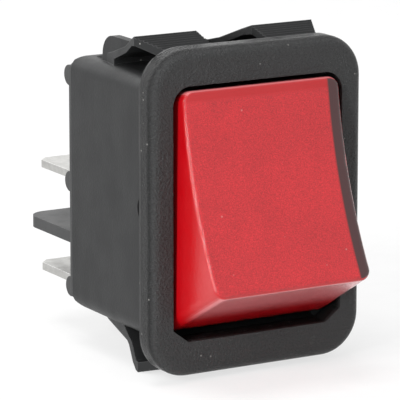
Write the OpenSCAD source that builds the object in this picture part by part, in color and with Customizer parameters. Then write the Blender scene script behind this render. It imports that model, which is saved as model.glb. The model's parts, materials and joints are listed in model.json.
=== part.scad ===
// Two-pole illuminated rocker switch for a 22 x 30 mm panel cut-out.
// X runs across the bezel, Y into the panel and Z up. The origin is the centre
// of the plane where the bezel seats on the panel. The rocker is shown with its
// top end pressed in, which is the position that closes both poles.

/* [Bezel] */
// Width of the bezel
bezel_w = 24; // [23.8:0.1:25]
// Height of the bezel
bezel_h = 32.5; // [32.3:0.1:34]
// Thickness of the bezel
bezel_t = 2.5; // [2.4:0.1:2.7]
// Radius of the bezel's corners
bezel_corner = 4.2; // [3:0.1:4.6]
// Radius round the bezel's front edge
bezel_soft = 1; // [0.5:0.1:1.2]

/* [Housing] */
// Width of the sleeve behind the panel
sleeve_w = 21.1; // [21:0.1:21.4]
// Height of the sleeve
sleeve_h = 26.3; // [26.2:0.1:26.6]
// Depth of the whole body behind the panel
body_depth = 17.2; // [17.1:0.1:17.6]
// Radius along the sleeve's long edges
sleeve_soft = 1.8; // [1.2:0.1:2]
// Radius of the slow curve over the sleeve's lower rear edge
rear_curve = 5; // [4:0.1:6]
// Radius of the curve over the sleeve's upper rear edge
top_curve = 2.6; // [2.2:0.1:4]
// Width of the rocker's well
well_w = 19.2; // [19.1:0.05:19.3]
// Height of the well's mouth
well_h = 25.4; // [25.3:0.05:25.5]
// Height of the chamber behind the well
chamber_h = 23.6; // [23.5:0.05:23.7]

/* [Snap wings] */
// Width of each snap wing
wing_w = 20.3; // [19.8:0.1:20.4]
// Width of the gap between a wing's two plates
wing_gap = 6.4; // [5:0.1:8]
// Distance between ridges
ridge_pitch = 0.5; // [0.4:0.05:0.5]
// Depth of the ridges
ridge_depth = 0.17; // [0.1:0.01:0.2]

/* [Rocker] */
// Distance of the pivot behind the seat plane
pivot_y = 1.7; // [1.6:0.05:1.8]
// Tilt of the rocker either side of level, in degrees
rocker_tilt = 19; // [18:0.5:19]
// Height of the ends of the rocker's face over the pivot
face_reach = 8.45; // [8.3:0.05:8.6]
// Radius of the hollow that runs down the rocker's face
face_dish = 50; // [45:1:60]
// Width of the rocker's face
face_w = 17.6; // [17.4:0.05:17.7]
// Length of the rocker's face
face_h = 20.4; // [20.2:0.05:20.5]
// Flare of the rocker's ends, in degrees
end_draft = 9.5; // [9:0.1:9.6]
// Flare of the rocker's sides, in degrees
side_draft = 2.6; // [2:0.1:2.7]
// Radius of the rocker's upright corners
face_corner = 1.1; // [0.8:0.05:1.3]
// Radius round the edge of the rocker's face
face_soft = 0.4; // [0.3:0.05:0.6]
// Wall of the rocker's cap
cap_wall = 1.2; // [1:0.05:1.3]
// Radius of the trunnions that the rocker turns on
trunnion_r = 1.25; // [1.1:0.05:1.25]

/* [Contacts] */
// Distance of each pole from the middle
pole_x = 5.7; // [5.6:0.05:5.8]
// Distance between the rows of terminals
row_pitch = 10.95; // [10.8:0.05:11]
// Width of a quick-connect blade
blade_w = 6.3; // [6.2:0.05:6.4]
// Thickness of a quick-connect blade
blade_t = 0.8; // [0.7:0.05:0.85]
// Length of a blade behind the body
blade_l = 10.2; // [8:0.1:10.5]
// Swing of the contact levers, in degrees
lever_swing = 12.4; // [12:0.1:12.4]
// Width of a contact lever
lever_w = 4.4; // [4:0.1:4.5]
// Thickness of a contact lever
lever_t = 0.6; // [0.5:0.05:0.7]

/* [Barrier] */
// Drop of the barrier below the middle row of terminals
barrier_drop = 6.2; // [5.8:0.05:6.3]
// Thickness of the barrier
barrier_t = 1.2; // [1:0.1:1.3]
// Length of the barrier behind the body
barrier_l = 11.4; // [10:0.1:12]
// Radius of the barrier's corners
barrier_corner = 2; // [1:0.1:3]

/* [Hidden] */
$fn = 48;
// Overlap that joins pieces of one solid, and overshoot of cuts
lap = 0.5;
// Clearance of a shaft in its hole, and of a plug in its socket
running = 0.05;

// How far the curve over the rear edges has come down at the rear face
rear_drop = 1.15;

// Well and chamber, as depth and half height
well_throat_y = 2.5;
well_throat_z = 12.35;
chamber_y = 8;
well_corner = 1.9;
well_chamfer = [1.7, 1.3];

// The base closes the sleeve: a plug inside it and a thin cap behind it
cap_t = 0.5;
cap_inset = 0.08;
plug_t = 1.9;
sleeve_end = body_depth - cap_t;
plug_front = sleeve_end - plug_t;
// Half-round rails behind the body, one at each row of terminals
rail_r = 1.05;
rail_w = 20.9;
partition_t = 1.2;
partition_front = 10.5;

// Side profiles of the snap wings as depth and distance from the middle. Each
// list starts on the sleeve and ends where the plate's ridges begin.
top_arm_outer = [[14.9, 13], [14.13, 13.24], [10.04, 14.32], [6.54, 15.43], [4.93, 16.39]];
top_arm_inner = [[4.07, 15.84], [4.81, 15.77], [6.42, 14.8], [9.6, 13.66]];
top_plate_start = [4.22, 16.77];
top_plate_slope = 14;
top_root_front = 9.6;
bottom_arm_outer = [[12.4, 13], [11.6, 13.3], [6.5, 14.28], [6.04, 14.61], [5.04, 16.12], [4.26, 16.77]];
bottom_arm_inner = [[3.71, 15.88], [4.23, 15.76], [5.34, 14.17], [6.17, 13.71]];
bottom_plate_start = [3.7, 16.9];
bottom_plate_slope = 16;
bottom_root_front = 8.8;
// Width of both wings where their line would reach the body's rear
wing_root_w = 16.9;
plate_t = 0.95;
plate_front = 0.6;
// Depth at which a wing's plates part, and how far their outer ends slant in
notch_apex_y = 7.4;
notch_shoulder_y = 4.2;
plate_slant = 1.9;
// Relief behind the bezel, just wider than a wing
relief_w = 20.8;
relief_t = 0.1;
// Stop rib on the upper wing
rib_x = -8.75;
rib_t = 0.9;
rib_top = 15.85;
rib_back = 12.4;
rib_round = 2.1;
rib_front = 5.2;
rib_foot_y = 9.6;
// Space between the rib and the arm that slopes up beneath it
rib_clear = [[5, 12], [rib_foot_y, 12], [rib_foot_y, 13.7], [6.42, 14.85], [5, 15.7]];

// Rocker, measured from its pivot with the face towards -Y
skirt = 1.9;
trunnion_end = 10.2;
// The dish's axis stands off so that its hollow runs into the soft end edges
dish_reach = sqrt(pow(face_dish + face_soft, 2) - pow(face_h / 2 - face_soft, 2))
    + face_reach - face_soft;
dish_flare = 0.06;
skirt_x = face_w / 2 + (face_reach + skirt) * tan(side_draft);
skirt_z = face_h / 2 + (face_reach + skirt) * tan(end_draft);

// Carrier inside the cap, with a tube for each plunger and a cradle for the lamp
plate_y = [0.6, 1.8];
tube_r = 1.95;
tube_y = [-4.4, 6.4];
tube_floor = 0.8;
plunger_r = 1.3;
plunger_back = 1.4;
plunger_tip_r = 0.9;
plunger_tip_y = 9.2;
plunger_neck_y = 7.6;
spring_wire = 0.2;
spring_turns = 6;
coil_steps = 14;
wire_sides = 8;
lamp_r = 2;
lamp_l = 11;
lamp_y = -3.4;
lamp_gap = 0.02;
saddle_wall = 0.6;
lead_r = 0.25;
resistor_r = 0.85;
// Waist between the resistor's end beads, as depth and radius of its groove
waist = [0.12, 2];
resistor_z = [3, 7.5];
lead_high_y = -4.75;

// Contact levers rock on the front edge of the common terminals
fulcrum_y = 12.5;
trough_deep = 11.87;
trough_r = 6.05;
trough_span = 40;
// Bends of the lever's arms: fall before the contact, and steps of the tail
arm_fall = 2.2;
arm_overrun = 1.4;
tail_step = 0.5;
tail_rise = [1.4, 3];
contact_z = -8.9;
contact_pad_y = 12.65;
contact_r = 1.5;
contact_head = 0.7;
contact_shank_r = 0.75;
// Peened tail of each contact, as height and share of its head's radius
peen = [0.35, 0.7];
peen_pocket = 0.6;
fixed_face_y = 13.38;
foot_top = -7.3;
foot_w = 5;
fork_front = 11;
fork_slot = 4.9;
blade_tip = body_depth + blade_l;
blade_chamfer = 0.9;

// Colours
black_nylon = [0.13, 0.13, 0.135];
lens_red = [0.72, 0.03, 0.06];
tinned_brass = [0.78, 0.78, 0.75];
bare_brass = [0.8, 0.66, 0.35];
contact_silver = [0.88, 0.88, 0.9];
spring_steel = [0.6, 0.6, 0.62];
pale_nylon = [0.85, 0.84, 0.8];
lamp_glass = [0.9, 0.75, 0.65, 0.5];
resistor_tan = [0.76, 0.62, 0.42];

// ---- Helpers ----

// Draws a side profile (depth, height) along X, centred on x
module across(width, x = 0) {
    translate([x, 0, 0]) rotate([90, 0, 90]) linear_extrude(width, center = true) children();
}

// Draws an outline (x, height) rearwards from y
module rearward(y, depth) {
    rotate([90, 0, 0]) translate([0, 0, -y - depth]) linear_extrude(depth) children();
}

// Cylinder along Y from y
module turned(r, y, length) {
    translate([0, y, 0]) rotate([-90, 0, 0]) cylinder(r = r, h = length);
}

// Cylinder along X between two stations
module pin_x(r, x0, x1) {
    translate([x0, 0, 0]) rotate([0, 90, 0]) cylinder(r = r, h = x1 - x0);
}

// Rectangle with round corners, centred
module round_rect(w, h, r) {
    square([w - 2 * r, h], center = true);
    square([w, h - 2 * r], center = true);
    for (sx = [-1, 1], sz = [-1, 1])
        translate([sx * (w / 2 - r), sz * (h / 2 - r)]) circle(r = r);
}

// Puts a piece drawn round the rocker's own pivot in its place
module on_rocker() {
    translate([0, pivot_y, 0]) rotate([-rocker_tilt, 0, 0]) children();
}

function rotated(p, a) = [p.x * cos(a) - p.y * sin(a), p.x * sin(a) + p.y * cos(a)];
function heading(a) = [cos(a), sin(a)];
function reversed(list) = [for (i = [len(list) - 1:-1:0]) list[i]];
function closed_about_middle(half) = concat(half, [for (p = reversed(half)) [p.x, -p.y]]);

// ---- Housing ----

// Half section of the bezel from the axis of a corner outwards, front up
module bezel_section() {
    square([bezel_corner - bezel_soft, bezel_t]);
    square([bezel_corner, bezel_t - bezel_soft]);
    translate([bezel_corner - bezel_soft, bezel_t - bezel_soft]) circle(r = bezel_soft);
}

module bezel_slab() {
    cx = bezel_w / 2 - bezel_corner;
    cz = bezel_h / 2 - bezel_corner;
    rotate([90, 0, 0]) {
        for (turn = [0, 180]) rotate(turn) {
            translate([cx, cz, 0]) rotate_extrude(angle = 90) bezel_section();
            translate([-cx, cz, 0]) rotate(90) rotate_extrude(angle = 90) bezel_section();
            translate([cx, 0, 0]) rotate([90, 0, 0])
                linear_extrude(2 * cz, center = true) bezel_section();
            translate([0, cz, 0]) rotate([90, 0, 90])
                linear_extrude(2 * cx, center = true) bezel_section();
        }
        translate([-cx, -cz, 0]) cube([2 * cx, 2 * cz, bezel_t]);
    }
}

// Side profile of the body: flat above and below, curved over its rear edges
module body_profile(inset = 0) {
    high = sleeve_h / 2 - inset;
    intersection() {
        translate([0, -high]) square([body_depth + inset, 2 * high]);
        for (lower = [0, 1]) mirror([0, lower]) {
            r = lower == 1 ? rear_curve : top_curve;
            flat = body_depth - sqrt(pow(r, 2) - pow(r - rear_drop, 2));
            translate([-lap, -lap]) square([flat + lap, high + lap]);
            translate([0, -lap]) square([body_depth + lap, high - r + lap]);
            translate([flat, high - r]) circle(r = r, $fn = 96);
        }
    }
}

module sleeve_block() {
    intersection() {
        rearward(-lap, sleeve_end + lap) round_rect(sleeve_w, sleeve_h, sleeve_soft);
        across(sleeve_w + 1) union() {
            body_profile();
            translate([-1, -sleeve_h / 2]) square([2, sleeve_h]);
        }
    }
}

// Outline of the well: round upper corners and cut lower ones
module well_outline(gap = 0) {
    w = well_w / 2 - gap;
    h = well_h / 2;
    translate([-w + well_corner, -h + well_chamfer.y])
        square([2 * w - 2 * well_corner, 2 * h - well_chamfer.y]);
    translate([-w, -h + well_chamfer.y])
        square([2 * w, 2 * h - well_chamfer.y - well_corner]);
    for (s = [-1, 1]) translate([s * (w - well_corner), h - well_corner]) circle(r = well_corner);
    polygon([[-w, -h + well_chamfer.y], [-w + well_chamfer.x, -h],
        [w - well_chamfer.x, -h], [w, -h + well_chamfer.y]]);
}

// The well narrows to the chamber, and the chamber runs out behind
module cavity() {
    seat_z = (well_h / 2 + well_throat_z) / 2 + running;
    half = [[-bezel_t - 1, well_h / 2], [-bezel_t, well_h / 2], [0, seat_z],
        [well_throat_y, well_throat_z], [chamber_y, chamber_h / 2], [body_depth + 1, chamber_h / 2]];
    intersection() {
        rearward(-bezel_t - 0.5, body_depth + bezel_t + 1) well_outline();
        across(sleeve_w) polygon(closed_about_middle(half));
    }
}

// Length of a plate along its slope
function plate_run(start, slope) = (start.x - plate_front) / cos(slope);

// Shallow reliefs behind the bezel, where the panel passes under the wings
module wing_reliefs() {
    for (s = [-1, 1]) translate([-relief_w / 2, -relief_t, s > 0 ? sleeve_h / 2 : -bezel_h])
        cube([relief_w, relief_t + 0.3, bezel_h - sleeve_h / 2]);
}

// Points of a ridged plate from its rear edge forwards, falling by slope
function ridges(start, slope) =
    [for (i = [0:floor(plate_run(start, slope) / ridge_pitch) - 1], valley = [0, 1])
        start - rotated([(i + valley / 2) * ridge_pitch, valley * ridge_depth], slope)];

// Upper and under corner of the plate's front end
function plate_tip(start, slope) = start - rotated([plate_run(start, slope), 0], slope);
function plate_under(start, slope) =
    start - rotated([plate_run(start, slope) - 0.2, plate_t], slope);

module wing_profile(outer, inner, start, slope, root_front) {
    root_z = sleeve_h / 2 - 1.2;
    polygon(concat([[root_front, root_z], [outer[0].x, root_z]], outer, ridges(start, slope),
        [plate_tip(start, slope), plate_under(start, slope)], inner));
}

// A wing is one sheet whose plates part in a V over the middle
module wing(outer, inner, start, slope, root_front) {
    far = sleeve_h / 2 + 6;
    intersection() {
        across(wing_w) wing_profile(outer, inner, start, slope, root_front);
        linear_extrude(far) difference() {
            polygon([[-wing_w / 2 + plate_slant, 0], [wing_w / 2 - plate_slant, 0],
                [wing_w / 2, start.x], [wing_root_w / 2, body_depth],
                [-wing_root_w / 2, body_depth], [-wing_w / 2, start.x]]);
            polygon([[-wing_gap / 2, -1], [wing_gap / 2, -1], [wing_gap / 2, notch_shoulder_y],
                [0, notch_apex_y], [-wing_gap / 2, notch_shoulder_y]]);
        }
    }
}

// Rib that stands on the upper wing and stops it at the panel's edge
module wing_rib() {
    low = sleeve_h / 2 - 0.8;
    across(rib_t, rib_x) difference() {
        union() {
            translate([rib_back - rib_round, rib_top - rib_round]) circle(r = rib_round);
            translate([rib_front, rib_top - rib_round])
                square([rib_back - rib_round - rib_front, rib_round]);
            translate([rib_foot_y, low]) square([rib_back - rib_foot_y, rib_top - rib_round - low]);
        }
        polygon(rib_clear);
    }
}

module housing() {
    color(black_nylon) difference() {
        union() {
            difference() {
                bezel_slab();
                wing_reliefs();
            }
            sleeve_block();
            wing(top_arm_outer, top_arm_inner, top_plate_start, top_plate_slope, top_root_front);
            wing_rib();
            mirror([0, 0, 1]) wing(bottom_arm_outer, bottom_arm_inner, bottom_plate_start,
                bottom_plate_slope, bottom_root_front);
        }
        cavity();
        translate([0, pivot_y, 0]) pin_x(trunnion_r + running, -sleeve_w, sleeve_w);
    }
}

// ---- Base ----

module barrier() {
    w = well_w;
    translate([0, 0, -barrier_drop - barrier_t / 2]) linear_extrude(barrier_t) union() {
        translate([-w / 2, body_depth - lap]) square([w, barrier_l + lap - barrier_corner]);
        translate([barrier_corner - w / 2, body_depth])
            square([w - 2 * barrier_corner, barrier_l]);
        for (s = [-1, 1])
            translate([s * (w / 2 - barrier_corner), body_depth + barrier_l - barrier_corner])
                circle(r = barrier_corner);
    }
}

module base() {
    plug_h = chamber_h - 2 * running;
    color(black_nylon) difference() {
        union() {
            intersection() {
                rearward(plug_front, plug_t + lap / 2) well_outline(running);
                cube([sleeve_w, 3 * body_depth, plug_h], center = true);
            }
            intersection() {
                rearward(sleeve_end, cap_t)
                    round_rect(sleeve_w - 2 * cap_inset, sleeve_h, sleeve_soft);
                translate([0, -cap_inset, 0]) across(sleeve_w) body_profile(cap_inset);
            }
            for (row = [-1, 0, 1]) translate([0, body_depth, row * row_pitch]) intersection() {
                pin_x(rail_r, -rail_w / 2, rail_w / 2);
                translate([-rail_w, -cap_t, -rail_w]) cube(2 * rail_w);
            }
            barrier();
            translate([-partition_t / 2, partition_front, -plug_h / 2])
                cube([partition_t, plug_front - partition_front + lap, plug_h]);
        }
        for (side = [-1, 1], row = [-1, 0])
            translate([side * pole_x, body_depth, row * row_pitch])
                cube([blade_w + 2 * running, 3 * plug_t, blade_t + 2 * running], center = true);
        for (side = [-1, 1]) translate([side * pole_x, 0, contact_z])
            turned(contact_r, plug_front - lap, lap + peen_pocket);
    }
}

// ---- Rocker ----

// Tapered block with soft edges round its face, from the face to the skirt
module cap_block() {
    hull() for (sx = [-1, 1], sz = [-1, 1]) {
        translate([sx * (face_w / 2 - face_corner), face_soft - face_reach,
            sz * (face_h / 2 - face_corner)]) rotate([90, 0, 0])
                rotate_extrude($fn = 32) translate([face_corner - face_soft, 0])
                    circle(r = face_soft, $fn = 24);
        translate([sx * (skirt_x - face_corner), skirt - lap, sz * (skirt_z - face_corner)])
            rotate([-90, 0, 0]) cylinder(r = face_corner, h = lap, $fn = 32);
    }
}

// What the dished face leaves away: a wheel whose rim rounds the long edges
module dish_wheel() {
    w = face_w / 2 + dish_flare;
    translate([0, -dish_reach, 0]) rotate([0, 90, 0]) rotate_extrude($fn = 360) difference() {
        translate([0, -w - 1]) square([face_dish + face_soft, 2 * w + 2]);
        translate([face_dish, face_soft - w]) square([2 * face_soft, 2 * (w - face_soft)]);
        for (s = [-1, 1]) translate([face_dish + face_soft, s * (w - face_soft)])
            circle(r = face_soft, $fn = 32);
    }
}

// The hollow inside follows the dish, one wall's thickness behind it
module cap_hollow() {
    over = 1;
    difference() {
        hull() {
            translate([0, cap_wall - face_reach + lap / 2, 0])
                cube([face_w - 2 * cap_wall, lap, face_h - 2 * cap_wall], center = true);
            translate([0, skirt + over, 0])
                cube([2 * (skirt_x - cap_wall + over * tan(side_draft)), lap,
                    2 * (skirt_z - cap_wall + over * tan(end_draft))], center = true);
        }
        translate([0, -dish_reach, 0]) rotate([0, 90, 0])
            cylinder(r = face_dish + cap_wall, h = 2 * face_w, center = true, $fn = 360);
    }
}

module rocker_cap() {
    color(lens_red) on_rocker() {
        difference() {
            cap_block();
            dish_wheel();
            cap_hollow();
        }
        for (side = [0, 180]) rotate([0, side, 0])
            pin_x(trunnion_r, face_w / 2 - cap_wall / 2, trunnion_end);
    }
}

module rocker_carrier() {
    inside_x = skirt_x - cap_wall - (skirt - plate_y[0]) * tan(side_draft);
    inside_z = skirt_z - cap_wall - (skirt - plate_y[0]) * tan(end_draft);
    saddle_t = 1.2;
    color(pale_nylon) on_rocker() difference() {
        union() {
            translate([0, (plate_y[0] + plate_y[1]) / 2, 0])
                cube([2 * inside_x, plate_y[1] - plate_y[0], 2 * inside_z], center = true);
            for (side = [-1, 1]) translate([side * pole_x, 0, 0])
                turned(tube_r, tube_y[0], tube_y[1] - tube_y[0]);
            for (end = [-1, 1])
                translate([-lamp_r - saddle_wall, lamp_y, end * lamp_l / 3 - saddle_t / 2])
                    cube([2 * (lamp_r + saddle_wall), plate_y[0] - lamp_y + lap, saddle_t]);
        }
        for (side = [-1, 1]) translate([side * pole_x, 0, 0]) {
            turned(plunger_r + running, tube_y[0] + tube_floor, tube_y[1]- tube_y[0]);
            turned(lead_r + running, tube_y[0] - lap, 2 * tube_floor);
        }
        translate([0, lamp_y, -lamp_l]) cylinder(r = lamp_r, h = 2 * lamp_l);
    }
}

module lamp() {
    color(lamp_glass) on_rocker() translate([0, lamp_y, 0]) {
        translate([0, 0, -lamp_l / 2]) cylinder(r = lamp_r - lamp_gap, h = lamp_l - lamp_r);
        translate([0, 0, lamp_l / 2 - lamp_r]) sphere(r = lamp_r - lamp_gap);
    }
}

module lamp_resistor() {
    mid = (resistor_z[0] + resistor_z[1]) / 2;
    color(resistor_tan) on_rocker() translate([pole_x, lead_high_y, resistor_z[0]])
        difference() {
            cylinder(r = resistor_r, h = resistor_z[1] - resistor_z[0]);
            translate([0, 0, mid - resistor_z[0]])
                rotate_extrude() translate([resistor_r + waist[1], 0]) circle(r = waist[0] + waist[1]);
        }
}

// Straight length of wire between two places
module wire(start, finish) {
    run = finish - start;
    translate(start) rotate([0, acos(run.z / norm(run)), atan2(run.y, run.x)])
        cylinder(r = lead_r, h = norm(run));
}

// Bent wire through a list of places
module lead(places) {
    color(tinned_brass) on_rocker() {
        for (i = [1:len(places) - 1]) wire(places[i - 1], places[i]);
        for (i = [1:len(places) - 2]) translate(places[i]) sphere(r = lead_r * 1.04);
    }
}

module lamp_lead(side) {
    turn_z = resistor_z[1] + 0.9;
    lamp_foot = -lamp_l / 2 - lead_r;
    pocket = [side * pole_x, tube_y[0] + tube_floor, 0];
    if (side < 0)
        lead([[-0.6, lamp_y, lamp_foot], [-0.6, lamp_y, -turn_z], [-pole_x, lead_high_y, -turn_z],
            [-pole_x, lead_high_y, 0], pocket]);
    if (side > 0)
        lead([[pole_x, lead_high_y, resistor_z[0] - lead_r], [pole_x, lead_high_y, 0], pocket]);
}

// Brass plunger with a round nose that works on the contact lever
module plunger(side) {
    color(bare_brass) on_rocker() translate([side * pole_x, 0, 0]) rotate([-90, 0, 0])
        rotate_extrude() {
            polygon([[0, plunger_back], [plunger_r, plunger_back], [plunger_r, plunger_neck_y],
                [plunger_tip_r, plunger_tip_y], [0, plunger_tip_y]]);
            intersection() {
                translate([0, plunger_tip_y]) circle(r = plunger_tip_r);
                translate([0, plunger_neck_y]) square([plunger_r, 4]);
            }
        }
}

// One ring of a coil's wire at a given angle
function coil_ring(radius, wire, rise, angle) = [for (k = [0:wire_sides - 1])
    let (a = 360 * k / wire_sides, r = radius + wire * cos(a))
    [r * cos(angle), r * sin(angle), rise * angle / 360 + wire * sin(a)]];

// Coil spring along +Z as one swept wire
module coil(radius, wire, length, turns) {
    n = wire_sides;
    steps = turns * coil_steps;
    rise = (length - 2 * wire) / turns;
    rings = [for (i = [0:steps]) each coil_ring(radius, wire, rise, i * 360 / coil_steps)];
    sides = [for (i = [0:steps - 1], k = [0:n - 1])
        [n * i + k, n * i + (k + 1) % n, n * (i + 1) + (k + 1) % n, n * (i + 1) + k]];
    ends = [[for (k = [n - 1:-1:0]) k], [for (k = [0:n - 1]) n * steps + k]];
    translate([0, 0, wire]) polyhedron(rings, concat(sides, ends), convexity = 10);
}

module plunger_spring(side) {
    floor_y = tube_y[0] + tube_floor;
    color(spring_steel) on_rocker() translate([side * pole_x, floor_y, 0]) rotate([-90, 0, 0])
        coil(plunger_r - spring_wire - running, spring_wire, plunger_back - floor_y, spring_turns);
}

// ---- Contacts ----

// Side profile of a lever round its fulcrum, as it stands with the pole closed
module lever_profile() {
    trough_y = trough_deep - trough_r - fulcrum_y;
    outer_r = trough_r + lever_t;
    half = lever_swing / 2;
    pad = contact_pad_y - fulcrum_y;
    reach = outer_r / cos(trough_span) + lap;
    rotate(half) translate([trough_y, 0]) intersection() {
        difference() {
            circle(r = outer_r, $fn = 96);
            circle(r = trough_r, $fn = 96);
        }
        polygon([[0, 0], reach * heading(-trough_span), [2 * outer_r, 0], reach * heading(trough_span)]);
    }
    // Lower arm from the crest to the contact
    low = rotated([trough_y, 0], half) + (trough_r + lever_t / 2) * heading(half - trough_span);
    strip([low, [pad - lever_t / 2, low.y - arm_fall],
        [pad - lever_t / 2, contact_z - arm_overrun]]);
    // Upper arm, the lever's tail
    top = rotated([trough_y, 0], half) + (trough_r + lever_t / 2) * heading(half + trough_span);
    strip([top, top + [tail_step, tail_rise[0]], top + [tail_step, tail_rise[1]]]);
}

// Bent strip of the lever's thickness through a list of places
module strip(places) {
    for (i = [1:len(places) - 1]) {
        run = places[i] - places[i - 1];
        translate(places[i - 1]) rotate(atan2(run.y, run.x))
            translate([0, -lever_t / 2]) square([norm(run), lever_t]);
    }
    for (place = places) translate(place) circle(r = lever_t / 2);
}

module contact_lever(side) {
    color(bare_brass) difference() {
        translate([0, fulcrum_y, 0]) across(lever_w, side * pole_x) lever_profile();
        translate([side * pole_x, 0, contact_z])
            turned(contact_shank_r, contact_pad_y - 3 * lever_t, 4 * lever_t);
    }
}

module moving_contact(side) {
    front = contact_pad_y - lever_t;
    color(contact_silver) translate([side * pole_x, 0, contact_z]) {
        turned(contact_r, contact_pad_y, contact_head);
        turned(contact_shank_r, front - peen[0], lever_t + peen[0] + contact_head);
        turned(contact_r * peen[1], front - peen[0], peen[0]);
    }
}

module fixed_contact(side) {
    foot_front = plug_front - blade_t;
    color(contact_silver) translate([side * pole_x, 0, contact_z]) {
        turned(contact_r, fixed_face_y, foot_front - fixed_face_y);
        turned(contact_shank_r, fixed_face_y, plug_front + peen[0] - fixed_face_y);
        turned(contact_r * peen[1], plug_front, peen[0]);
    }
}

// Outline of a blade seen from above, from y to its tip with cut corners
module blade_outline(y) {
    w = blade_w / 2;
    polygon([[-w, y], [w, y], [w, blade_tip - blade_chamfer], [w - blade_chamfer, blade_tip],
        [blade_chamfer - w, blade_tip], [-w, blade_tip - blade_chamfer]]);
}

// Common terminal: a blade whose forked front edge is the lever's fulcrum
module common_terminal(side) {
    half = blade_t / 2;
    color(tinned_brass) translate([side * pole_x, 0, 0]) {
        translate([0, 0, -half]) linear_extrude(blade_t) difference() {
            blade_outline(fork_front);
            translate([-fork_slot / 2, fork_front - 1])
                square([fork_slot, fulcrum_y + half + 1 - fork_front]);
        }
        across(fork_slot) polygon([[fulcrum_y, 0], [fulcrum_y + half, half],
            [fulcrum_y + half + lap, half], [fulcrum_y + half + lap, -half],
            [fulcrum_y + half, -half]]);
    }
}

// Load terminal: a blade with a foot turned up to carry the fixed contact
module load_terminal(side) {
    foot_front = plug_front - blade_t;
    low = -row_pitch - blade_t / 2;
    color(tinned_brass) translate([side * pole_x, 0, 0]) difference() {
        union() {
            translate([0, 0, low]) linear_extrude(blade_t) blade_outline(plug_front);
            translate([-foot_w / 2, foot_front, low])
                cube([foot_w, blade_t, foot_top - low]);
            translate([-foot_w / 2, foot_front, low]) cube([foot_w, blade_t + lap, blade_t]);
        }
        translate([0, 0, contact_z]) turned(contact_shank_r, foot_front - lap, blade_t + 2 * lap);
    }
}

housing();
base();
rocker_cap();
rocker_carrier();
lamp();
lamp_resistor();
lamp_lead(-1);  // lamp_lead_left
lamp_lead(1);  // lamp_lead_right
plunger(-1);  // plunger_left
plunger(1);  // plunger_right
plunger_spring(-1);  // plunger_spring_left
plunger_spring(1);  // plunger_spring_right
contact_lever(-1);  // contact_lever_left
contact_lever(1);  // contact_lever_right
moving_contact(-1);  // moving_contact_left
moving_contact(1);  // moving_contact_right
fixed_contact(-1);  // fixed_contact_left
fixed_contact(1);  // fixed_contact_right
common_terminal(-1);  // common_terminal_left
common_terminal(1);  // common_terminal_right
load_terminal(-1);  // load_terminal_left
load_terminal(1);  // load_terminal_right
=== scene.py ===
import json
import math

import bmesh
import bpy
from bpy.props import FloatProperty, FloatVectorProperty, PointerProperty
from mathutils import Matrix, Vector


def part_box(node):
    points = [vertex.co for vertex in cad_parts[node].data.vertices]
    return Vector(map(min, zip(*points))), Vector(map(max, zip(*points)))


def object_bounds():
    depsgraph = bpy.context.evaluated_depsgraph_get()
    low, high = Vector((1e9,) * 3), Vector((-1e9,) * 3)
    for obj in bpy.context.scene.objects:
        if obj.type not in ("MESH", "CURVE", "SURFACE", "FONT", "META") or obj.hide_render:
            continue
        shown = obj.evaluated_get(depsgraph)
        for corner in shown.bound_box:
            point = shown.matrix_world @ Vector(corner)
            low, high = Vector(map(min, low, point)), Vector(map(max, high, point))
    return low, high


bl_info = {
    "name": "Panel Rocker Switch",
    "version": (1, 0, 0),
    "blender": (4, 5, 0),
    "location": "View3D > Sidebar > Rocker Switch",
    "description": "Finishes the pieces of an illuminated panel rocker switch and lights them",
    "category": "Object",
}

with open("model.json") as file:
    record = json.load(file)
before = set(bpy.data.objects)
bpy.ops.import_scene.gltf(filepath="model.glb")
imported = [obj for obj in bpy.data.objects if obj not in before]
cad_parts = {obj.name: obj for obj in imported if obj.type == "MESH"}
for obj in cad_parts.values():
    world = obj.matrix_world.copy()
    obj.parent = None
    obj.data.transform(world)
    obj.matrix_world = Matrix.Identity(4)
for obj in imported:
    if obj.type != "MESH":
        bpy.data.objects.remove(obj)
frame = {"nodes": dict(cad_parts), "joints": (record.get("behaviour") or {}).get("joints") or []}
NODES = frame["nodes"]
CAD_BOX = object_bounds()

BEZEL_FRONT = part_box("housing")[0].y
PIVOT_Y = 0.0017  # depth of the rocker's pivot behind the bezel's seat
TILT_RANGE = next(j["range_deg"] for j in frame["joints"] if j["name"] == "rocker_tilt")
REST_TILT = math.radians(TILT_RANGE[1] / 2)  # the top end is pressed in at rest
DISH_RADIUS = 0.05  # the rocker's hollow face lies round an axis in front of it
DISH_AXIS_Y = -0.05749  # that axis, from the pivot
FACE_HALF_WIDTH = 0.0088
FACE_HALF_HEIGHT = 0.0102
GRAIN_SOFTNESS = 0.0003  # over which one finish passes into the next
MM = 0.001


# ---- Settings ----


def colour(name, description, default):
    """A colour setting for the panel."""
    return FloatVectorProperty(
        name=name, description=description, default=default, size=3, min=0, max=1, subtype="COLOR"
    )


def length(name, description, default):
    """A length setting for the panel, in metres."""
    return FloatProperty(
        name=name, description=description, default=default, min=0, unit="LENGTH", precision=5
    )


def share(name, description, default):
    """A setting from 0 to 1 for the panel."""
    return FloatProperty(
        name=name, description=description, default=default, min=0, max=1, subtype="FACTOR"
    )


class NylonSettings(bpy.types.PropertyGroup):
    black: colour("Black nylon", "Colour of the housing and bezel", (0.02, 0.0205, 0.021))
    front: colour("Grained nylon", "Colour of the bezel's grained front", (0.039, 0.0395, 0.04))
    base: colour("Base nylon", "Colour of the base and its barrier", (0.024, 0.0245, 0.025))
    pale: colour("Pale nylon", "Colour of the carrier inside the rocker", (0.62, 0.6, 0.53))
    grain: length("Grain", "Size of the bezel's spark-eroded grain", 0.00027)
    soft: length("Soft edge", "Radius of the mould's small edges", 0.00013)
    sheen_level: share("Roughness", "Roughness of the moulded surface", 0.42)


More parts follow.
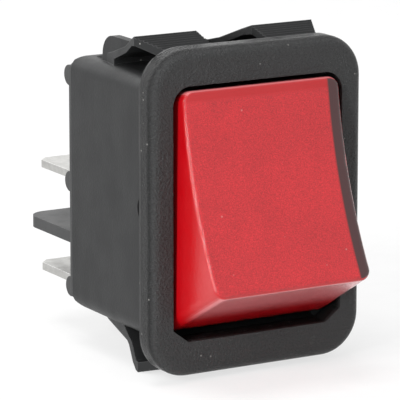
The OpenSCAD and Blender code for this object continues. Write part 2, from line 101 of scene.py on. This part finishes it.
class LensSettings(bpy.types.PropertyGroup):
    frosted: colour("Frosted red", "Colour of the frosted field of the rocker", (0.47, 0.012, 0.018))
    polished: colour("Polished red", "Colour of the polished sides", (0.42, 0.002, 0.005))
    # painted shade: the border beside the frosted field is painted dark, for the shaded inside seen through
    # the clear skin
    painted_dark_border: colour("Smoked red", "Colour of the clear border beside the frosted field", (0.05, 0.012, 0.013))
    border: length("Border", "Width of the clear border beside the frosted field", 0.00072)
    # painted shade: the trunnions are painted almost black, for the shade in the side slot they sit in
    painted_slot_shade: colour("Thick red", "Colour of the solid trunnions", (0.03, 0.0015, 0.002))
    band: length("Band", "Height of the clear band over the frosted field", 0.0011)
    # painted reflection: the end walls near the front are painted pale pink, for the white floor reflected
    # in them
    floor_glow_and_painted_reflection: colour("Glowing red", "Colour of the end wall, which light passes through", (0.66, 0.16, 0.17))
    offset: length("Offset", "Sideways offset of the frosted field", 0.0006)
    frost: share("Frost", "Roughness of the frosted field", 0.52)


class MetalSettings(bpy.types.PropertyGroup):
    tin: colour("Tin", "Colour of the tinned blades and wires", (0.52, 0.516, 0.5))
    brass: colour("Brass", "Colour of the bare brass pieces", (0.72, 0.5, 0.22))
    silver: colour("Silver", "Colour of the contact faces", (0.8, 0.79, 0.77))
    steel: colour("Spring steel", "Colour of the plunger springs", (0.42, 0.42, 0.43))


class StageSettings(bpy.types.PropertyGroup):
    azimuth: FloatProperty(
        name="Azimuth", description="Turn of the camera round the switch",
        default=math.radians(-30.105), subtype="ANGLE"
    )
    elevation: FloatProperty(
        name="Elevation", description="Height of the camera over the switch",
        default=math.radians(12.475), subtype="ANGLE"
    )
    distance: length("Distance", "Distance of the camera from the seat plane", 0.3382)
    lens: FloatProperty(
        name="Lens", description="Focal length of the camera", default=0.30855,
        unit="CAMERA", min=0.001
    )
    aside: length("Aside", "How far the camera's axis passes beside the origin", 0.004475)
    above: length("Above", "How far the camera's axis passes over the origin", 0.000184)
    floor_size: length("Floor", "Width of the floor", 2.4)
    key: FloatProperty(name="Key light", description="Power of the key light", default=0.3, min=0)
    strip: FloatProperty(name="Strip light", description="Power of the narrow side light",
                         default=3.0, min=0)
    top: FloatProperty(name="Top light", description="Power of the top light", default=1.9, min=0)
    rear: FloatProperty(name="Rear light", description="Power of the soft light behind", default=1.2, min=0)
    air: FloatProperty(name="Room light", description="Strength of the room's light",
                       default=0.5, min=0)


GROUPS = {
    "switch_nylon": NylonSettings,
    "switch_lens": LensSettings,
    "switch_metal": MetalSettings,
    "switch_stage": StageSettings,
}


# ---- Node trees ----


class Tree:
    """Adds nodes to a tree, each with its inputs set or linked by name or place."""

    def __init__(self, tree):
        self.tree = tree

    def add(self, kind, inputs=None, **values):
        node = self.tree.nodes.new(kind)
        for key, value in values.items():
            setattr(node, key, value)
        for key, value in (inputs or {}).items():
            if isinstance(value, bpy.types.NodeSocket):
                self.tree.links.new(value, node.inputs[key])
            else:
                node.inputs[key].default_value = value
        return node

    def math(self, operation, first, second=0.5, clamp=False):
        return self.add("ShaderNodeMath", {0: first, 1: second}, operation=operation,
                        use_clamp=clamp).outputs[0]

    def ramp(self, value, low, high, out_low=0.0, out_high=1.0, smooth=True):
        """A value taken from one range to another, without overshoot."""
        return self.add(
            "ShaderNodeMapRange",
            {"Value": value, "From Min": low, "From Max": high, "To Min": out_low, "To Max": out_high},
            interpolation_type="SMOOTHSTEP" if smooth else "LINEAR", clamp=True,
        ).outputs[0]

    def mix(self, factor, first, second):
        node = self.add("ShaderNodeMix", data_type="RGBA")
        for socket, value in ((node.inputs[0], factor), (node.inputs[6], first), (node.inputs[7], second)):
            if isinstance(value, bpy.types.NodeSocket):
                self.tree.links.new(value, socket)
            else:
                socket.default_value = value
        return node.outputs[2]

    def noise(self, vector, scale, detail=2.0, roughness=0.5):
        return self.add("ShaderNodeTexNoise", {"Vector": vector, "Scale": scale, "Detail": detail,
                                               "Roughness": roughness}).outputs["Fac"]

    def group(self, name, **inputs):
        node = self.tree.nodes.new("ShaderNodeGroup")
        node.node_tree = bpy.data.node_groups[name]
        for key, value in inputs.items():
            socket = node.inputs[key.replace("_", " ")]
            if isinstance(value, bpy.types.NodeSocket):
                self.tree.links.new(value, socket)
            else:
                socket.default_value = value
        return node.outputs


def new_group(name, inputs, outputs):
    """An empty shader group with the named sockets, and its input and output nodes."""
    tree = bpy.data.node_groups.new(name, "ShaderNodeTree")
    kinds = {"value": "NodeSocketFloat", "colour": "NodeSocketColor", "vector": "NodeSocketVector"}
    for label, kind, default in inputs:
        socket = tree.interface.new_socket(label, in_out="INPUT", socket_type=kinds[kind])
        if default is not None:
            socket.default_value = default
    for label, kind in outputs:
        tree.interface.new_socket(label, in_out="OUTPUT", socket_type=kinds[kind])
    made = Tree(tree)
    entry = made.add("NodeGroupInput").outputs
    leave = made.add("NodeGroupOutput")

    def give(**values):
        for key, value in values.items():
            tree.links.new(value, leave.inputs[key.replace("_", " ")])

    return made, entry, give


def build_soft_edges():
    """Small round edges, as a normal and as a mask of where they are."""
    t, entry, give = new_group(
        "soft edges", [("Radius", "value", 0.0001)], [("Normal", "vector"), ("Edge", "value")]
    )
    round_normal = t.add("ShaderNodeBevel", {"Radius": entry["Radius"]}, samples=6).outputs[0]
    true_normal = t.add("ShaderNodeNewGeometry").outputs["True Normal"]
    same = t.add("ShaderNodeVectorMath", {0: round_normal, 1: true_normal},
                 operation="DOT_PRODUCT").outputs["Value"]
    give(Normal=round_normal, Edge=t.ramp(same, 0.995, 0.8))


def build_moulded_grain():
    """Spark-eroded mould grain: height, and a fine mottle of the colour."""
    t, entry, give = new_group(
        "moulded grain",
        [("Vector", "vector", None), ("Size", "value", 0.0002), ("Colour", "colour", None),
         ("Mottle", "value", 0.2)],
        [("Colour", "colour"), ("Height", "value"), ("Patch", "value")],
    )
    scale = t.math("DIVIDE", 1.0, entry["Size"])
    pits = t.noise(entry["Vector"], scale, 3, 0.62)
    fine = t.noise(entry["Vector"], t.math("MULTIPLY", scale, 2.7), 2, 0.5)
    patch = t.noise(entry["Vector"], t.math("MULTIPLY", scale, 0.06), 3, 0.6)
    height = t.math("ADD", t.math("MULTIPLY", pits, 0.75), t.math("MULTIPLY", fine, 0.25))
    shade = t.math("ADD", t.math("MULTIPLY", t.math("SUBTRACT", fine, 0.5), 1.2),
                   t.math("MULTIPLY", t.math("SUBTRACT", patch, 0.5), 0.25))
    value = t.math("ADD", 1.0, t.math("MULTIPLY", shade, entry["Mottle"]))
    coloured = t.add("ShaderNodeHueSaturation", {"Color": entry["Colour"], "Value": value}).outputs[0]
    give(Colour=coloured, Height=height, Patch=patch)


def build_dust():
    """Sparse pale specks of dust and lint, as a mask."""
    t, entry, give = new_group(
        "dust specks", [("Vector", "vector", None), ("Spacing", "value", 0.001), ("Amount", "value", 0.1)],
        [("Mask", "value")],
    )
    scale = t.math("DIVIDE", 1.0, entry["Spacing"])
    cell = t.add("ShaderNodeTexVoronoi", {"Vector": entry["Vector"], "Scale": scale}, feature="F1")
    near = t.ramp(cell.outputs["Distance"], 0.11, 0.04)
    picked = t.math("LESS_THAN", t.add("ShaderNodeSeparateColor",
                                       {0: cell.outputs["Color"]}).outputs[0], entry["Amount"])
    give(Mask=t.math("MULTIPLY", near, picked))


def build_drawn_metal():
    """Rolled and stamped metal: drawn lines along one axis, soft spots and a height."""
    t, entry, give = new_group(
        "drawn metal",
        [("Vector", "vector", None), ("Colour", "colour", None), ("Line", "value", 0.00006),
         ("Dulling", "value", 0.3)],
        [("Colour", "colour"), ("Roughness", "value"), ("Height", "value")],
    )
    stretched = t.add("ShaderNodeMapping", {"Vector": entry["Vector"], "Scale": (1.0, 0.06, 1.0)}).outputs[0]
    lines = t.noise(stretched, t.math("DIVIDE", 1.0, entry["Line"]), 3, 0.6)
    spots = t.noise(entry["Vector"], 900, 4, 0.6)
    dull = t.math("MULTIPLY", t.ramp(spots, 0.35, 0.7), entry["Dulling"])
    value = t.math("SUBTRACT", t.ramp(lines, 0.2, 0.8, 0.93, 1.04), t.math("MULTIPLY", dull, 0.35))
    coloured = t.add("ShaderNodeHueSaturation", {"Color": entry["Colour"], "Value": value}).outputs[0]
    rough = t.math("ADD", t.ramp(lines, 0.2, 0.8, 0.22, 0.34), t.math("MULTIPLY", dull, 0.35))
    give(Colour=coloured, Roughness=rough, Height=lines)


def new_material(name, **plain):
    """A material with one Principled shader, its constant values set on its own sockets."""
    made = bpy.data.materials.new(name)
    made.use_nodes = True
    t = Tree(made.node_tree)
    shader = made.node_tree.nodes["Principled BSDF"]
    for key, value in plain.items():
        shader.inputs[key.replace("_", " ")].default_value = value
    place = t.add("ShaderNodeTexCoord").outputs["Object"]
    return made, t, shader, place


def link(t, shader, **sockets):
    """Links what varies over the surface to the shader."""
    for key, value in sockets.items():
        t.tree.links.new(value, shader.inputs[key.replace("_", " ")])


def bump(t, height, distance, normal=None):
    """A normal that follows a height, on top of another normal."""
    inputs = {"Height": height, "Distance": distance, "Strength": 1.0}
    if normal is not None:
        inputs["Normal"] = normal
    return t.add("ShaderNodeBump", inputs).outputs[0]


def rgba(values):
    return (*values, 1.0)


def dress(material, *names):
    """Puts a material on CAD nodes in place of the plain one."""
    for name in names:
        slots = NODES[name].data.materials
        slots.clear()
        slots.append(material)


# ---- Moulded nylon ----


def housing_material(s):
    """Grained on the bezel's front and sides, and satin smooth on the sleeve and wings, with painted shade
    on the bezel's sides and a painted highlight on the small edges.
    """
    made, t, shader, place = new_material("black_nylon", Specular_IOR_Level=0.16, IOR=1.5)
    soft = t.group("soft edges", Radius=s.soft)
    grain = t.group("moulded grain", Vector=place, Size=s.grain, Colour=rgba(s.black), Mottle=1.3)
    satin = t.group("moulded grain", Vector=place, Size=s.grain * 0.45, Colour=rgba(s.black), Mottle=0.4)
    y = t.add("ShaderNodeSeparateXYZ", {0: place}).outputs[1]
    on_bezel = t.ramp(y, 0.0, -0.0004)
    on_front = t.ramp(y, BEZEL_FRONT + 0.0007, BEZEL_FRONT + 0.0002)
    dust = t.group("dust specks", Vector=place, Spacing=0.0011, Amount=0.2)["Mask"]
    drawn_out = t.add("ShaderNodeMapping", {"Vector": place, "Scale": (1.0, 1.0, 0.25)}).outputs[0]
    flow = t.noise(drawn_out, 420, 3)
    front = t.group("moulded grain", Vector=place, Size=s.grain, Colour=rgba(s.front), Mottle=1.3)
    # painted shade: the bezel's sides, rounding and the walls of its opening are painted at half the colour
    # of the grained nylon
    painted_shade_sides = t.mix(0.5, grain["Colour"], (0, 0, 0, 1))
    colour_now = t.mix(on_bezel, satin["Colour"], painted_shade_sides)
    colour_now = t.mix(on_front, colour_now, front["Colour"])
    # painted highlight: the small edges are mixed towards a paler grey
    colour_now = t.mix(t.math("MULTIPLY", soft["Edge"], 0.55), colour_now, (0.1, 0.1, 0.103, 1))
    colour_now = t.mix(t.math("MULTIPLY", dust, 0.5), colour_now, (0.42, 0.41, 0.39, 1))
    height = t.math("MULTIPLY", grain["Height"], t.ramp(on_bezel, 0, 1, 0.08, 1.0))
    normal = bump(t, height, 0.00036, soft["Normal"])
    rough = t.math("ADD", t.ramp(grain["Patch"], 0.3, 0.7, s.sheen_level - 0.05, s.sheen_level + 0.05),
                   t.ramp(flow, 0.3, 0.7, -0.03, 0.03))
    rough = t.math("ADD", rough, t.math("MULTIPLY", on_bezel, -0.2))
    rubbed = t.math("MULTIPLY", t.ramp(grain["Height"], 0.57, 0.64), on_bezel)
    rough = t.math("SUBTRACT", rough, t.math("MULTIPLY", rubbed, 0.1))
    link(t, shader, Base_Color=colour_now, Roughness=rough, Normal=normal)
    return made


def base_material(s):
    """Lightly grained, with a painted highlight on its edges."""
    made, t, shader, place = new_material("base_nylon", Specular_IOR_Level=0.5, IOR=1.5)
    soft = t.group("soft edges", Radius=s.soft)
    grain = t.group("moulded grain", Vector=place, Size=s.grain * 0.8, Colour=rgba(s.base), Mottle=0.35)
    # painted highlight: the edges are mixed towards a paler grey
    colour_now = t.mix(t.math("MULTIPLY", soft["Edge"], 0.45), grain["Colour"], (0.085, 0.085, 0.09, 1))
    rough = t.ramp(grain["Patch"], 0.3, 0.7, 0.44, 0.54)
    link(t, shader, Base_Color=colour_now, Roughness=rough,
         Normal=bump(t, grain["Height"], 0.00001, soft["Normal"]))
    return made


def carrier_material(s):
    """Pale nylon that light enters a little."""
    made, t, shader, place = new_material("pale_nylon", Specular_IOR_Level=0.45, Subsurface_Weight=0.25,
                                          Subsurface_Scale=0.0008)
    soft = t.group("soft edges", Radius=s.soft)
    grain = t.group("moulded grain", Vector=place, Size=s.grain, Colour=rgba(s.pale), Mottle=0.12)
    rough = t.ramp(grain["Patch"], 0.3, 0.7, 0.42, 0.52)
    link(t, shader, Base_Color=grain["Colour"], Roughness=rough,
         Normal=bump(t, grain["Height"], 0.000008, soft["Normal"]))
    return made


# ---- Red lens ----


def lens_material(s):
    """A frosted field under a clear skin, with a clear band, a border painted dark for the shaded inside
    seen through the skin, end walls painted pale with the floor's reflection, and trunnions painted with the
    shade of their slot.
    """
    made, t, shader, place = new_material(
        "red_lens", Specular_IOR_Level=0.1, IOR=1.49, Coat_Weight=1.0, Coat_Roughness=0.1
    )
    level = t.add("ShaderNodeMapping", {"Vector": place, "Location": (0, -PIVOT_Y, 0)},
                  vector_type="POINT").outputs[0]
    level = t.add("ShaderNodeMapping", {"Vector": level, "Rotation": (REST_TILT, 0, 0)},
                  vector_type="POINT").outputs[0]
    x, y, z = t.add("ShaderNodeSeparateXYZ", {0: level}).outputs
    from_axis = t.math("SQRT", t.math("ADD", t.math("POWER", t.math("SUBTRACT", y, DISH_AXIS_Y), 2.0),
                                      t.math("MULTIPLY", z, z)))
    face = t.ramp(from_axis, DISH_RADIUS + 0.00012, DISH_RADIUS + 0.00004)
    # the offset shifts the painted dark border so that it is wide on the right and narrow on the left
    across = t.math("ABSOLUTE", t.math("ADD", x, s.offset))
    border_edge = FACE_HALF_WIDTH - s.border
    inside = t.ramp(across, border_edge + GRAIN_SOFTNESS / 2, border_edge - GRAIN_SOFTNESS / 2)
    band_edge = FACE_HALF_HEIGHT - s.band
    below_top = t.ramp(z, band_edge + GRAIN_SOFTNESS, band_edge - GRAIN_SOFTNESS)
    frosted = t.math("MULTIPLY", t.math("MULTIPLY", face, inside), below_top)
    frost = t.group("moulded grain", Vector=place, Size=0.0003, Colour=rgba(s.frosted), Mottle=1.35)
    cloud = t.noise(place, 260, 3)
    body_red = t.mix(t.ramp(cloud, 0.3, 0.7, 0, 0.25), rgba(s.polished), rgba(s.frosted))
    facing = t.add("ShaderNodeSeparateXYZ", {0: t.add("ShaderNodeTexCoord").outputs["Normal"]}).outputs[2]
    end_wall = t.ramp(t.math("ABSOLUTE", facing), 0.6, 0.85)
    shallow = t.ramp(y, -0.0004, -0.0048)
    # painted reflection: the end walls near the front are painted pale pink, for the white floor reflected
    # in them
    body_red = t.mix(t.math("MULTIPLY", end_wall, shallow), body_red, rgba(s.floor_glow_and_painted_reflection))
    # painted shade: the trunnions are painted almost black, for the shade in the side slot they sit in
    stub = t.ramp(t.math("ABSOLUTE", x), FACE_HALF_WIDTH + 0.0006, FACE_HALF_WIDTH + 0.0009)
    body_red = t.mix(stub, body_red, rgba(s.painted_slot_shade))
    beside_field = t.math("MULTIPLY", face, t.math("SUBTRACT", 1.0, inside))
    # painted shade: beside the frosted field the colour is painted dark, for the shaded inside seen through
    # the clear skin
    skirt = t.mix(beside_field, body_red, rgba(s.painted_dark_border))
    colour_now = t.mix(frosted, skirt, frost["Colour"])
    dust = t.group("dust specks", Vector=place, Spacing=0.0013, Amount=0.2)["Mask"]
    dust = t.math("MULTIPLY", dust, frosted)
    colour_now = t.mix(t.math("MULTIPLY", dust, 0.3), colour_now, (0.6, 0.35, 0.33, 1))
    rough = t.ramp(frosted, 0, 1, 0.2, s.frost)
    height = t.math("MULTIPLY", frost["Height"], t.ramp(frosted, 0, 1, 0.3, 1.0))
    soft = t.group("soft edges", Radius=0.0006)
    link(t, shader, Base_Color=colour_now, Roughness=rough, Normal=bump(t, height, 0.00007, soft["Normal"]),
         Coat_Normal=bump(t, frost["Height"], 0.00005, soft["Normal"]))
    return made


# ---- Metals, glass and the resistor ----


def metal_material(name, tint, line=0.00006, dulling=0.3, lift=0.0, edge=(0.9, 0.9, 0.88)):
    """Rolled or stamped metal with a painted highlight on its edges, its roughness raised by lift."""
    made, t, shader, place = new_material(name, Metallic=1.0)
    soft = t.group("soft edges", Radius=0.00009)
    drawn = t.group("drawn metal", Vector=place, Colour=rgba(tint), Line=line, Dulling=dulling)
    # painted highlight: the small edges are mixed towards the paler edge colour
    colour_now = t.mix(t.math("MULTIPLY", soft["Edge"], 0.6), drawn["Colour"], rgba(edge))
    rough = t.math("ADD", drawn["Roughness"], lift)
    link(t, shader, Base_Color=colour_now, Roughness=rough,
         Normal=bump(t, drawn["Height"], 0.000003, soft["Normal"]))
    return made


def glass_material():
    """Clear glass with a little haze."""
    made, t, shader, place = new_material("lamp_glass", Transmission_Weight=0.85, IOR=1.5,
                                          Roughness=0.03, Base_Color=(0.95, 0.9, 0.86, 1))
    haze = t.noise(place, 700, 3)
    link(t, shader, Roughness=t.ramp(haze, 0.35, 0.75, 0.02, 0.12),
         Base_Color=t.mix(t.ramp(haze, 0.4, 0.8, 0, 0.3), (0.95, 0.92, 0.88, 1), (0.85, 0.72, 0.6, 1)))
    return made


def resistor_material():
    """Tan body with four painted rings round its long axis."""
    made, t, shader, place = new_material("resistor_body", Specular_IOR_Level=0.5, Coat_Weight=0.3)
    low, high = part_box("lamp_resistor")
    z = t.add("ShaderNodeSeparateXYZ", {0: place}).outputs[2]
    share_up = t.ramp(z, low.z, high.z, smooth=False)
    body = t.group("moulded grain", Vector=place, Size=0.0003, Colour=(0.55, 0.4, 0.22, 1), Mottle=0.15)
    colour_now = body["Colour"]
    rings = ((0.2, (0.3, 0.02, 0.01, 1)), (0.38, (0.02, 0.03, 0.2, 1)),
             (0.54, (0.5, 0.35, 0.02, 1)), (0.8, (0.5, 0.36, 0.1, 1)))
    for centre, paint in rings:
        off = t.math("ABSOLUTE", t.math("SUBTRACT", share_up, centre))
        colour_now = t.mix(t.ramp(off, 0.045, 0.035), colour_now, paint)
    link(t, shader, Base_Color=colour_now, Roughness=t.ramp(body["Patch"], 0.3, 0.7, 0.3, 0.42),
         Normal=bump(t, body["Height"], 0.00001))
    return made


# ---- Operators ----


class SwitchOperator(bpy.types.Operator):
    bl_options = {"REGISTER", "UNDO"}


class SWITCH_OT_effects(SwitchOperator):
    """Build the effects that several finishes share"""

    bl_idname = "switch.effects"
    bl_label = "Shared Effects"

    def execute(self, context):
        build_soft_edges()
        build_moulded_grain()
        build_dust()
        build_drawn_metal()
        return {"FINISHED"}


class SWITCH_OT_housing(SwitchOperator):
    """Finish the moulded housing with its bezel and snap wings"""

    bl_idname = "switch.housing"
    bl_label = "Housing"

    def execute(self, context):
        dress(housing_material(context.scene.switch_nylon), "housing")
        return {"FINISHED"}


class SWITCH_OT_base(SwitchOperator):
    """Finish the base with its barrier"""

    bl_idname = "switch.base"
    bl_label = "Base"

    def execute(self, context):
        dress(base_material(context.scene.switch_nylon), "base")
        return {"FINISHED"}


class SWITCH_OT_rocker(SwitchOperator):
    """Finish the rocker's red cap and the carrier inside it"""

    bl_idname = "switch.rocker"
    bl_label = "Rocker"

    def execute(self, context):
        dress(lens_material(context.scene.switch_lens), "rocker_cap")
        dress(carrier_material(context.scene.switch_nylon), "rocker_carrier")
        return {"FINISHED"}


class SWITCH_OT_lamp(SwitchOperator):
    """Finish the lamp with its leads and resistor"""

    bl_idname = "switch.lamp"
    bl_label = "Lamp"

    def execute(self, context):
        metal = context.scene.switch_metal
        dress(glass_material(), "lamp")
        dress(resistor_material(), "lamp_resistor")
        dress(metal_material("tinned_wire", metal.tin, dulling=0.5), "lamp_lead_left", "lamp_lead_right")
        return {"FINISHED"}


class SWITCH_OT_plungers(SwitchOperator):
    """Finish the two plungers and their springs"""

    bl_idname = "switch.plungers"
    bl_label = "Plungers"

    def execute(self, context):
        metal = context.scene.switch_metal
        # edge is the colour of the painted highlight on the small edges
        brass = metal_material("turned_brass", metal.brass, edge=(0.86, 0.68, 0.38))
        dress(brass, "plunger_left", "plunger_right")
        steel = metal_material("spring_steel", metal.steel, line=0.0001)
        dress(steel, "plunger_spring_left", "plunger_spring_right")
        return {"FINISHED"}


class SWITCH_OT_contacts(SwitchOperator):
    """Finish the contact levers and the silver contacts"""

    bl_idname = "switch.contacts"
    bl_label = "Contacts"

    def execute(self, context):
        metal = context.scene.switch_metal
        # edge is the colour of the painted highlight on the small edges
        strip = metal_material("rolled_brass", metal.brass, dulling=0.5, edge=(0.86, 0.68, 0.38))
        dress(strip, "contact_lever_left", "contact_lever_right")
        silver = metal_material("contact_silver", metal.silver, line=0.0001, dulling=0.2)
        dress(silver, "moving_contact_left", "moving_contact_right",
              "fixed_contact_left", "fixed_contact_right")
        return {"FINISHED"}


class SWITCH_OT_terminals(SwitchOperator):
    """Finish the tinned terminal blades"""

    bl_idname = "switch.terminals"
    bl_label = "Terminals"

    def execute(self, context):
        tin = metal_material("tinned_brass", context.scene.switch_metal.tin, dulling=0.35, lift=0.12)
        dress(tin, "common_terminal_left", "common_terminal_right",
              "load_terminal_left", "load_terminal_right")
        return {"FINISHED"}


class SWITCH_OT_stage(SwitchOperator):
    """Set the floor, the lights and the camera"""

    bl_idname = "switch.stage"
    bl_label = "Stage"

    def execute(self, context):
        s = context.scene.switch_stage
        build_floor(s)
        build_room(context.scene, s)
        build_lights(s)
        build_camera(context.scene, s)
        return {"FINISHED"}


# ---- Stage ----


def seen_directly(t):
    """1 where a surface is seen by the camera, in a reflection or through glass, and 0 elsewhere."""
    path = t.add("ShaderNodeLightPath").outputs
    seen = t.math("MAXIMUM", path["Is Camera Ray"], path["Is Glossy Ray"])
    return t.math("MAXIMUM", seen, path["Is Transmission Ray"])


def build_floor(s):
    """A pale floor under the lowest point, which keeps the switch's shadow."""
    bm = bmesh.new()
    bmesh.ops.create_grid(bm, x_segments=1, y_segments=1, size=s.floor_size / 2)
    bmesh.ops.translate(bm, vec=(0, 0, CAD_BOX[0].z), verts=bm.verts)
    mesh = bpy.data.meshes.new("floor")
    bm.to_mesh(mesh)
    bm.free()
    floor = bpy.data.objects.new("floor", mesh)
    bpy.context.scene.collection.objects.link(floor)
    made = bpy.data.materials.new("pale_floor")
    made.use_nodes = True
    t = Tree(made.node_tree)
    shader = made.node_tree.nodes["Principled BSDF"]
    shader.inputs["Specular IOR Level"].default_value = 0.0
    place = t.add("ShaderNodeTexCoord").outputs["Object"]
    paper = t.ramp(t.noise(place, 300, 3), 0.3, 0.7, 0.88, 0.92)
    colour_now = t.add("ShaderNodeCombineColor", {0: paper, 1: paper, 2: paper}).outputs[0]
    link(t, shader, Base_Color=colour_now)
    shader.inputs["Roughness"].default_value = 0.9
    floor_glow_and_painted_reflection = t.add("ShaderNodeEmission", {"Color": (1, 1, 1, 1), "Strength": 1.0})
    factor = t.math("MULTIPLY", seen_directly(t), 0.7)
    blend = t.add("ShaderNodeMixShader", {0: factor, 1: shader.outputs[0], 2: floor_glow_and_painted_reflection.outputs[0]})
    output = made.node_tree.nodes["Material Output"]
    made.node_tree.links.new(blend.outputs[0], output.inputs["Surface"])
    mesh.materials.append(made)


def build_room(scene, s):
    """A white room that lights the switch softly."""
    world = bpy.data.worlds.new("white_room")
    scene.world = world
    world.use_nodes = True
    t = Tree(world.node_tree)
    background = world.node_tree.nodes["Background"]
    background.inputs["Color"].default_value = (1, 1, 1, 1)
    strength = t.ramp(seen_directly(t), 0, 1, s.air, 1.0)
    t.tree.links.new(strength, background.inputs["Strength"])


def area_light(name, power, size, place):
    """A soft light of the given size that faces the switch."""
    data = bpy.data.lights.new(name, "AREA")
    data.shape = "RECTANGLE"
    data.size, data.size_y = size
    data.energy = power
    lamp = bpy.data.objects.new(name, data)
    bpy.context.scene.collection.objects.link(lamp)
    lamp.location = place
    lamp.rotation_euler = (-Vector(place)).to_track_quat("-Z", "Y").to_euler()


def build_lights(s):
    area_light("key_light", s.key, (0.35, 0.5), (-0.6, -0.28, 0.2))
    area_light("strip_light", s.strip, (0.04, 0.42), (-0.5, -0.24, 0.19))
    area_light("rear_light", s.rear, (0.9, 0.3), (-0.12, 0.6, 0.3))
    area_light("top_light", s.top, (0.4, 0.3), (-0.1, 0.05, 0.6))


def build_camera(scene, s):
    """The camera, turned round the switch and moved beside and over its axis."""
    back = Vector((math.sin(s.azimuth) * math.cos(s.elevation),
                   -math.cos(s.azimuth) * math.cos(s.elevation), math.sin(s.elevation)))
    turn = back.to_track_quat("Z", "Y")
    right, up = turn @ Vector((1, 0, 0)), turn @ Vector((0, 1, 0))
    data = bpy.data.cameras.new("camera")
    data.sensor_width = 36
    data.lens = s.lens / MM
    data.clip_start, data.clip_end = 0.01, 10
    camera = bpy.data.objects.new("camera", data)
    scene.collection.objects.link(camera)
    camera.location = back * s.distance - right * s.aside + up * s.above
    camera.rotation_mode = "QUATERNION"
    camera.rotation_quaternion = turn
    scene.camera = camera
    scene.view_settings.view_transform = "Standard"


class SWITCH_PT_pieces(bpy.types.Panel):
    """The switch's pieces and their settings"""

    bl_idname = "SWITCH_PT_pieces"
    bl_label = "Rocker Switch"
    bl_space_type = "VIEW_3D"
    bl_region_type = "UI"
    bl_category = "Rocker Switch"

    def draw(self, context):
        layout = self.layout
        for name, group in GROUPS.items():
            box = layout.box()
            for prop in group.__annotations__:
                box.prop(getattr(context.scene, name), prop)
        for operator in OPERATORS:
            layout.operator(operator.bl_idname)


OPERATORS = (
    SWITCH_OT_effects, SWITCH_OT_housing, SWITCH_OT_base, SWITCH_OT_rocker, SWITCH_OT_lamp,
    SWITCH_OT_plungers, SWITCH_OT_contacts, SWITCH_OT_terminals, SWITCH_OT_stage,
)


def register():
    for name, group in GROUPS.items():
        bpy.utils.register_class(group)
        setattr(bpy.types.Scene, name, PointerProperty(type=group))
    for made in (*OPERATORS, SWITCH_PT_pieces):
        bpy.utils.register_class(made)


def unregister():
    for made in reversed((*OPERATORS, SWITCH_PT_pieces)):
        bpy.utils.unregister_class(made)
    for name, group in GROUPS.items():
        delattr(bpy.types.Scene, name)
        bpy.utils.unregister_class(group)


def main():
    register()
    for operator in OPERATORS:
        group, name = operator.bl_idname.split(".")
        getattr(getattr(bpy.ops, group), name)()


if __name__ == "__main__":
    main()
